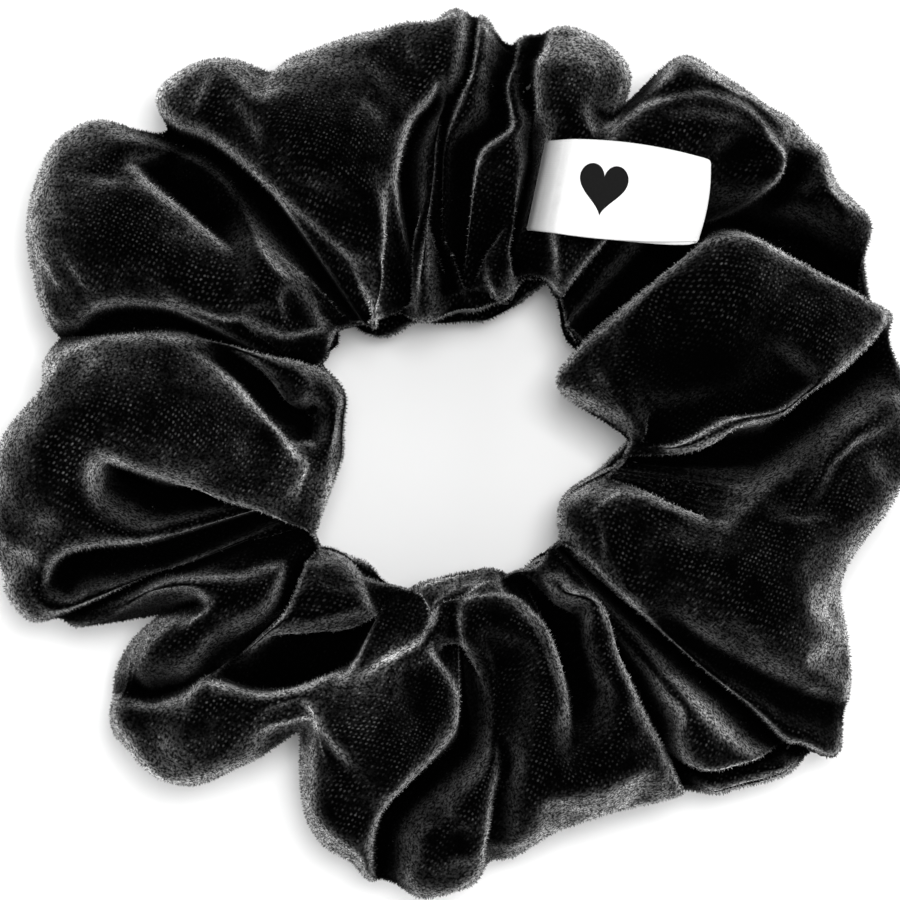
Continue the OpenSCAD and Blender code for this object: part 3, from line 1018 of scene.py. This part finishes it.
def build_pile(grid, shade):
    """Tufts of pile in rows, each a three-sided spike that leans with the nap."""
    random = np.random.default_rng(SEED)
    i, j = tuft_places(grid, random)
    base = sample_grid(grid, i, j)
    count = len(base)
    normal = unit(sample_grid(grid_normals(grid), i, j))
    nap = unit(sample_grid(grid, i, np.minimum(j + 1, TUBE_STEPS - 1)) - base)
    grow = unit(normal + TUFT_NAP * nap + random.normal(0, TUFT_STRAY, base.shape))
    first = unit(np.cross(grow, random.normal(0, 1, base.shape)))
    second = np.cross(grow, first)
    length = random.uniform(*TUFT_LENGTH, (count, 1))
    reach = random.uniform(*TUFT_WIDTH, (count, 1)) / math.sqrt(3)
    root = base - normal * TUFT_ROOT
    corners = [root + reach * (math.cos(a) * first + math.sin(a) * second)
               for a in (0, 2 * math.pi / 3, 4 * math.pi / 3)]
    points = np.stack(corners + [root + grow * length], 1).reshape(-1, 3)
    points[:, 2] = np.maximum(points[:, 2], LOWEST)
    sides = np.array([[0, 1, 3], [1, 2, 3], [2, 0, 3]])
    faces = (np.arange(count)[:, None, None] * 4 + sides).reshape(-1, 3)
    obj = make_mesh("velvet_pile", points, faces.tolist(),
                    velvet_material("velvet_pile", 0.95))
    obj.data.normals_split_custom_set_from_vertices(np.repeat(normal, 4, axis=0).tolist())
    add_velvet_layers(obj, np.repeat(sample_grid(shade[..., None], i, j)[:, 0], 4))
    blend_on_ring(obj)
    return obj


# ---------------------------------------------------------------- elastic and threads

def tube_mesh(paths, radius, sides=8):
    """Points and faces of round tubes along paths, with rounded closed ends."""
    points, faces = [], []
    turn = np.linspace(0, 2 * np.pi, sides, endpoint=False)[:, None]
    for path in paths:
        path = np.asarray(path, float)
        along = unit(np.gradient(path, axis=0))
        helper = np.array([0.0, 0.0, 1.0]) + 0.01 * path[0] / np.linalg.norm(path[0])
        side = unit(np.cross(along, helper))
        up = np.cross(side, along)
        first = len(points)
        ends = [(0, -0.7, 0.45)] + [(k, 0, 1) for k in range(len(path))] + [(-1, 0.7, 0.45)]
        for k, out, share in ends:
            around = np.cos(turn) * side[k] + np.sin(turn) * up[k]
            points.extend(path[k] + along[k] * out * radius + radius * share * around)
        for ring in range(first, first + (len(ends) - 1) * sides, sides):
            for k in range(sides):
                a, b = ring + k, ring + (k + 1) % sides
                faces.append((a, b, b + sides, a + sides))
        last = first + (len(ends) - 1) * sides
        faces.append(tuple(first + k for k in reversed(range(sides))))
        faces.append(tuple(last + k for k in range(sides)))
    return np.array(points), faces


def build_elastic():
    """A flat braided elastic, laid round with its ends overlapped."""
    half_lap = math.radians(LAP_LENGTH / 2 / LAP_RADIUS)
    start = math.radians(LAP_ANGLE) - half_lap
    end = start + 2 * (math.pi + half_lap)
    theta = np.linspace(start, end, ELASTIC_STEPS)
    lift = smooth((theta - (end - 3.5 * half_lap)) / half_lap)
    weave_height, weave_pitch = ELASTIC_WEAVE
    radius = elastic_radius(theta) + lift * (ELASTIC_THICK + 0.1)
    weave = weave_height * np.cos(theta * radius * 2 * math.pi / weave_pitch)
    across = np.linspace(-1, 1, 37)
    cord = ELASTIC_CORD_HEIGHT * np.abs(np.sin(across * math.pi / 2 * ELASTIC_CORDS))
    flat = ELASTIC_THICK / 2 - ELASTIC_CORD_HEIGHT
    profile = np.sqrt(1 - across ** 8) * flat + cord
    outwards = np.concatenate([profile, -profile[-2:0:-1]])
    levels = RING_HEIGHT / 2 + np.concatenate([across, across[-2:0:-1]]) * ELASTIC_WIDE / 2
    r = (radius + weave + ELASTIC_THICK / 2)[:, None] + outwards
    turn = theta[:, None]
    points = np.stack([r * np.cos(turn), r * np.sin(turn), np.broadcast_to(levels, r.shape)], -1)
    count = len(levels)
    faces = [(i * count + k, i * count + (k + 1) % count, (i + 1) * count + (k + 1) % count,
              (i + 1) * count + k) for i in range(len(theta) - 1) for k in range(count)]
    faces.append(tuple(reversed(range(count))))
    faces.append(tuple((len(theta) - 1) * count + k for k in range(count)))
    obj = make_mesh("elastic", points.reshape(-1, 3), faces,
                    thread_material("elastic", 0.02, 0.8))
    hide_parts("elastic_label_half", "elastic_far_half")
    blend_on_ring(obj)
    return obj


def build_elastic_join():
    """A zigzag of pale thread through the two ends of the elastic."""
    middle = math.radians(LAP_ANGLE)
    radius = float(elastic_radius(np.array([middle]))[0]) + 2 * ELASTIC_THICK + ZIGZAG_THREAD
    path = []
    for k in range(ZIGZAGS):
        angle = middle + math.radians((k - (ZIGZAGS - 1) / 2) * ZIGZAG_TURN)
        height = RING_HEIGHT / 2 + (1 if k % 2 else -1) * ELASTIC_WIDE * 0.38
        path.append((radius * math.cos(angle), radius * math.sin(angle), height))
    points, faces = tube_mesh([catmull_rom(path, 0.5)], ZIGZAG_THREAD)
    obj = make_mesh("elastic_zigzag", points, faces,
                    thread_material("pale_thread", 0.7, 0.6))
    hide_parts("elastic_join")
    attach(obj, "seam_side")
    return obj


def stitches(line):
    """Cuts a line into stitches."""
    along = run_along(line)
    out = []
    for start in np.arange(0, along[-1] - STITCH_LENGTH, STITCH_LENGTH + STITCH_GAP):
        at = np.linspace(start, start + STITCH_LENGTH, 5)
        out.append(np.stack([np.interp(at, along, line[:, axis]) for axis in range(3)], -1))
    return out


def build_long_seam(grid):
    """The stitches that hold the two allowances together, just inside the sleeve."""
    seam, inward, across = seam_lines(grid)
    line = seam + inward * SEAM_DEPTH
    beside = (ALLOWANCE_GAP / 2 + THREAD / 2) * across
    points, faces = tube_mesh(stitches(line + beside) + stitches(line - beside), THREAD / 2)
    obj = make_mesh("long_seam", points, faces,
                    thread_material("black_thread", 0.012, 0.6))
    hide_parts("long_seam_label_half", "long_seam_far_half")
    blend_on_ring(obj)
    return obj


def build_closing_seam(grid):
    """The stitches round the tube that join the sleeve's two ends, inside a crevice."""
    row = int(round(CLOSING_ANGLE / 360 * len(grid)))
    line = grid[row - CLOSING_ROWS:row + CLOSING_ROWS + 1].mean(0)
    line = line - grid_normals(grid)[row] * SEAM_DEPTH
    points, faces = tube_mesh(stitches(line[3:-3]), THREAD / 2)
    obj = make_mesh("closing_stitches", points, faces,
                    thread_material("closing_thread", 0.012, 0.6))
    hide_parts("closing_seam")
    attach(obj, "seam_side")
    return obj


# ---------------------------------------------------------------- label

def quadratic(x, points):
    """The parabola through three points."""
    return np.polyval(np.polyfit(*np.array(points, float).T, 2), x)


def label_sides(b):
    """x of the label's seam end and of its fold, at a place across it."""
    return [low + (high - low) * (b + 1) / 2 for low, high in (LABEL_LEFT, LABEL_RIGHT)]


def label_point(a, b, lower):
    """A point of the label's loop, in mm in the label's own frame.

    a runs from the seam (0) to the fold (1), b across the ribbon from -1 to 1. The upper layer
    curls down at its two edges, most of all near the fold; the lower one lies flatter.
    """
    left, right = label_sides(b)
    x = left + (right - left) * a
    upper_edge = quadratic(x, LABEL_UPPER_EDGE)
    lower_edge = quadratic(x, LABEL_LOWER_EDGE)
    y = lower_edge + (upper_edge - lower_edge) * (b + 1) / 2
    near_fold = smooth((a - 0.45) / 0.5)
    bulge = np.sin(np.pi * np.clip(a, 0, 1))
    curl = (LABEL_CURL[0] + LABEL_CURL[1] * near_fold) * b * b
    top = LABEL_TOP + LABEL_BULGE[0] * bulge - curl
    bottom = LABEL_BOTTOM + LABEL_BULGE[1] * bulge - 0.25 * b * b
    dip = LABEL_DIP * (1 - smooth(a / LABEL_DIP_SHARE)) * (1 - 0.15 * b)
    y = y - np.where(lower, 0.45 * near_fold * (1 - smooth((a - 0.93) / 0.07)), 0)
    return np.stack([x, y, np.where(lower, bottom, top) - dip], -1)


def label_sheet():
    """The ribbon's middle surface: along it from one raw end round the fold to the other."""
    aa, bb = np.meshgrid(np.linspace(0, 1 - FOLD_SHARE, 60), np.linspace(-1, 1, 29),
                         indexing="ij")
    top, low = label_point(aa, bb, False), label_point(aa[::-1], bb, True)
    tuck = np.linspace(1, 0, 8, endpoint=False)[:, None, None]
    down = np.array(LABEL_TUCK) * tuck ** [1, 1, 1.3]
    start = top[:1] + down
    end = low[-1:] + down[::-1] * [1, 1, 0.85]
    turn = np.linspace(0, np.pi, 17)[1:-1, None, None]
    middle, half = (top[-1:] + low[:1]) / 2, (top[-1:] - low[:1]) / 2
    slope = unit(top[-1:] - top[-3:-2])
    bulge = np.linalg.norm(half, axis=-1, keepdims=True) * FOLD_BULGE
    fold = middle + half * np.cos(turn) + slope * bulge * np.sin(turn)
    return np.concatenate([start, top, fold, low, end])


def on_label(points):
    """From the label's own frame to the object's."""
    tilt = math.radians(LABEL_TILT)
    turn = np.array([[math.cos(tilt), -math.sin(tilt), 0], [math.sin(tilt), math.cos(tilt), 0],
                     [0, 0, 1]])
    return np.asarray(points) @ turn.T + LABEL_START


def build_label():
    """The satin ribbon: two faces RIBBON_THICK apart with rounded selvedges."""
    sheet = label_sheet()
    rows, columns = sheet.shape[:2]
    across = np.linspace(-1, 1, columns)
    thick = RIBBON_THICK / 2 * np.where(np.abs(across) > 0.98, 0.55, 1)
    thick = thick * (1 + 0.25 * np.exp(-((np.abs(across) - 0.93) / 0.03) ** 2))
    offset = grid_normals(sheet, False) * thick[None, :, None]
    points = np.stack([sheet + offset, sheet - offset]).reshape(-1, 3)
    quads = grid_faces(rows, columns, False)
    size = rows * columns
    faces = quads[:, ::-1].tolist() + (quads + size).tolist()
    index = np.arange(size).reshape(rows, columns)
    rim = [*index[:, 0], *index[-1, 1:], *index[-2::-1, -1], *index[0, -2:0:-1]]
    for a, b in zip(rim, rim[1:] + rim[:1]):
        faces.append((b, a, a + size, b + size))
    uv = np.stack(np.meshgrid(run_along(sheet[:, columns // 2]), across * 6, indexing="ij"), -1)
    obj = make_mesh("satin_label", on_label(points), faces, satin_material(),
                    np.tile(uv.reshape(-1, 2), (2, 1)))
    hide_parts("label_ribbon")
    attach(obj, "label")
    return obj


def label_surface(flat):
    """Points of the label's upper layer over flat places (x, y) in its own frame."""
    x, y = flat.T
    b = np.zeros_like(x)
    for _ in range(3):
        left, right = label_sides(b)
        a = (x - left) / (right - left)
        low, high = quadratic(x, LABEL_LOWER_EDGE), quadratic(x, LABEL_UPPER_EDGE)
        b = (y - low) / (high - low) * 2 - 1
    return label_point(a, b, False)


def heart_outline(count):
    """A heart of unit half width, with its tip down: two round lobes over a drawn-out tip."""
    t = np.linspace(0, 2 * np.pi, count, endpoint=False)
    x = np.sin(t) ** 3
    y = (13 * np.cos(t) - 5 * np.cos(2 * t) - 2 * np.cos(3 * t) - np.cos(4 * t)) / 16
    return np.stack([x, y], -1)


def build_heart():
    """The printed heart: a thin film that lies on the label's upper layer."""
    lean = math.radians(HEART_TURN)
    turn = np.array([[math.cos(lean), -math.sin(lean)], [math.sin(lean), math.cos(lean)]])
    outline = (heart_outline(120) * [HEART_WIDE / 2, HEART_HIGH / 1.82]) @ turn.T
    count = len(outline)
    rings = np.linspace(1, 0, 13)[:-1, None, None]
    flat = np.concatenate([(HEART_PLACE + outline * rings).reshape(-1, 2), [HEART_PLACE]])
    film = label_surface(flat) + [0, 0, RIBBON_THICK / 2 + HEART_FILM]
    skirt = film[:count] - [0, 0, 2 * HEART_FILM]
    middle = len(rings) * count
    faces = []
    for k in range(count):
        after = (k + 1) % count
        for ring in range(0, middle - count, count):
            faces.append((ring + k, ring + count + k, ring + count + after, ring + after))
        faces.append((middle - count + k, middle, middle - count + after))
        faces.append((k, after, middle + 1 + after, middle + 1 + k))
    obj = make_mesh("heart_print", on_label(np.concatenate([film, skirt])), faces,
                    print_material())
    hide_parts("label_heart")
    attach(obj, "label")
    return obj


# ---------------------------------------------------------------- stage

def build_stage():
    mesh = bpy.data.meshes.new("floor")
    corners = [(-1, -1), (1, -1), (1, 1), (-1, 1)]
    mesh.from_pydata([(x * FLOOR_REACH, y * FLOOR_REACH, 0) for x, y in corners], [],
                     [(0, 1, 2, 3)])
    tone = (FLOOR_TONE, FLOOR_TONE, FLOOR_TONE, 1)
    mesh.materials.append(Material("floor_white", {"Base Color": tone, "Roughness": 0.9}).data)
    floor = bpy.data.objects.new("floor", mesh)
    bpy.context.scene.collection.objects.link(floor)


def build_lights():
    for name, (place, size, power) in LIGHTS.items():
        data = bpy.data.lights.new(name, "AREA")
        data.size = size
        data.energy = power
        light = bpy.data.objects.new(name, data)
        light.location = place
        light.rotation_euler = (-Vector(place)).to_track_quat("-Z", "Y").to_euler()
        bpy.context.scene.collection.objects.link(light)
    world = bpy.data.worlds.new("world")
    world.use_nodes = True
    sky = world.node_tree.nodes["Background"]
    sky.inputs["Color"].default_value = (1, 1, 1, 1)
    sky.inputs["Strength"].default_value = SKY
    bpy.context.scene.world = world


def build_camera():
    data = bpy.data.cameras.new("camera")
    data.sensor_width = SENSOR
    data.lens = SENSOR * VIEW_DISTANCE / VIEW_WIDTH
    data.clip_end = 20
    camera = bpy.data.objects.new("camera", data)
    camera.location = (0, 0, VIEW_DISTANCE + VIEW_LEVEL)
    bpy.context.scene.collection.objects.link(camera)
    bpy.context.scene.camera = camera


bpy.context.scene.view_settings.view_transform = "Standard"
build_camera()
build_lights()
build_stage()
velvet_grid, velvet_shade = settled_sleeve()
build_sleeve(velvet_grid, velvet_shade)
build_pile(velvet_grid, velvet_shade)
build_elastic()
build_elastic_join()
build_long_seam(velvet_grid)
build_closing_seam(velvet_grid)
build_label()
build_heart()
